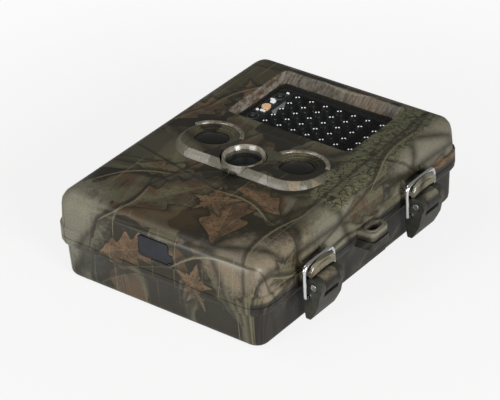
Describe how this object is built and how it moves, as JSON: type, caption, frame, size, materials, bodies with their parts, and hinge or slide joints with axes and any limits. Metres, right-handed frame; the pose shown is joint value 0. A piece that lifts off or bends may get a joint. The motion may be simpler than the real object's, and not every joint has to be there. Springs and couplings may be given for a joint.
{
  "type": "trail camera",
  "caption": "Clamshell trail camera on its back: camouflaged case with a lens, motion sensors, an infrared lamp window, two wire draw latches, a padlock lug and a rubber power cover.",
  "frame": {"origin": "centre of the box that bounds the whole camera, on the plane the camera lies on (its back)", "axes": "+Z out of the lens, +Y towards the lamp window (the top when strapped to a tree), +X towards the latches"},
  "size_m": [0.1225, 0.14, 0.0436],
  "materials": {
    "camouflage_plastic": "satin moulded plastic under a printed leaf and bark film",
    "dark_olive_plastic": "satin moulded plastic, dark olive",
    "chrome_wire": "bright plated spring wire",
    "steel": "plain steel pins and pressings",
    "brass": "turned brass",
    "dark_rubber": "soft dark grey rubber",
    "seal_rubber": "soft black rubber",
    "black_plastic": "black moulded plastic",
    "dark_glass": "dark infrared-passing acrylic, and coated glass",
    "sensor_window": "dark thin moulded Fresnel window",
    "circuit_board": "green solder mask",
    "lamp_board": "black board with dark lamp domes",
    "light_cell": "amber light cell",
    "cell_jacket": "plain dark foil jacket",
    "screen": "dark screen",
    "key_rubber": "grey silicone"
  },
  "bodies": {
    "rear_case": {"rear_shell": "camouflage_plastic", "tripod_insert": "brass", "battery_tray_lower": "black_plastic", "battery_tray_upper": "black_plastic", "battery_1": "cell_jacket", "battery_2": "cell_jacket", "battery_3": "cell_jacket", "battery_4": "cell_jacket", "battery_5": "cell_jacket", "battery_6": "cell_jacket", "battery_7": "cell_jacket", "battery_8": "cell_jacket", "contact_strip_lower_inner": "steel", "contact_strip_lower_outer": "steel", "contact_strip_upper_inner": "steel", "contact_strip_upper_outer": "steel", "latch_pin_1": "steel", "latch_pin_2": "steel", "hinge_pin": "steel"},
    "front_case": {"front_shell": "camouflage_plastic", "case_seal": "seal_rubber", "lens_ring": "black_plastic", "lens_glass": "dark_glass", "lens_barrel": "black_plastic", "sensor_window_left": "sensor_window", "sensor_window_right": "sensor_window", "sensor_can_left": "steel", "sensor_can_right": "steel", "lamp_window": "dark_glass", "lamp_board": "lamp_board", "light_baffle": "black_plastic", "light_sensor_lower": "black_plastic", "light_sensor_upper": "black_plastic", "light_cell": "light_cell", "indicator_lamp": "key_rubber", "inner_panel": "black_plastic", "main_board": "circuit_board", "screen": "screen", "card_slot": "steel", "data_port": "steel", "power_jack": "black_plastic"},
    "latch_lever_1_body": {"latch_lever_1": "dark_olive_plastic"},
    "latch_bail_1_body": {"latch_bail_1": "chrome_wire"},
    "latch_lever_2_body": {"latch_lever_2": "dark_olive_plastic"},
    "latch_bail_2_body": {"latch_bail_2": "chrome_wire"},
    "power_cover_body": {"power_cover": "dark_rubber"},
    "key_ok_body": {"key_ok": "key_rubber"},
    "key_up_body": {"key_up": "key_rubber"},
    "key_down_body": {"key_down": "key_rubber"},
    "key_left_body": {"key_left": "key_rubber"},
    "key_right_body": {"key_right": "key_rubber"},
    "power_switch_body": {"power_switch": "key_rubber"}
  },
  "joints": [
    {"name": "case_hinge", "type": "hinge", "parent": "rear_case", "child": "front_case", "pos_m": [-0.05805, 0, 0.0205], "axis": [0, -1, 0], "range_deg": [0, 120]},
    {"name": "latch_lever_1_pivot", "type": "hinge", "parent": "rear_case", "child": "latch_lever_1_body", "pos_m": [0.05725, -0.0366, 0.0202], "axis": [0, -1, 0], "range_deg": [0, 115]},
    {"name": "latch_bail_1_pivot", "type": "hinge", "parent": "latch_lever_1_body", "child": "latch_bail_1_body", "pos_m": [0.05435, -0.0366, 0.01518], "axis": [0, 1, 0], "range_deg": [0, 138]},
    {"name": "latch_lever_2_pivot", "type": "hinge", "parent": "rear_case", "child": "latch_lever_2_body", "pos_m": [0.05725, 0.033, 0.0202], "axis": [0, -1, 0], "range_deg": [0, 115]},
    {"name": "latch_bail_2_pivot", "type": "hinge", "parent": "latch_lever_2_body", "child": "latch_bail_2_body", "pos_m": [0.05435, 0.033, 0.01518], "axis": [0, 1, 0], "range_deg": [0, 138]},
    {"name": "power_cover_hinge", "type": "hinge", "parent": "front_case", "child": "power_cover_body", "pos_m": [-0.0092, -0.06885, 0.03037], "axis": [0, 0, -1], "range_deg": [0, 105]},
    {"name": "key_ok_press", "type": "slide", "parent": "front_case", "child": "key_ok_body", "axis": [0, 0, 1], "range_m": [0, 0.0005], "stiffness_N_per_m": 200},
    {"name": "key_up_press", "type": "slide", "parent": "front_case", "child": "key_up_body", "axis": [0, 0, 1], "range_m": [0, 0.0005], "stiffness_N_per_m": 200},
    {"name": "key_down_press", "type": "slide", "parent": "front_case", "child": "key_down_body", "axis": [0, 0, 1], "range_m": [0, 0.0005], "stiffness_N_per_m": 200},
    {"name": "key_left_press", "type": "slide", "parent": "front_case", "child": "key_left_body", "axis": [0, 0, 1], "range_m": [0, 0.0005], "stiffness_N_per_m": 200},
    {"name": "key_right_press", "type": "slide", "parent": "front_case", "child": "key_right_body", "axis": [0, 0, 1], "range_m": [0, 0.0005], "stiffness_N_per_m": 200},
    {"name": "power_switch_slide", "type": "slide", "parent": "front_case", "child": "power_switch_body", "axis": [0, 1, 0], "range_m": [0, 0.005]}
  ],
  "couplings": [
    {"joint": "latch_bail_1_pivot", "follows": "latch_lever_1_pivot", "ratio": 1.2},
    {"joint": "latch_bail_2_pivot", "follows": "latch_lever_2_pivot", "ratio": 1.2}
  ]
}
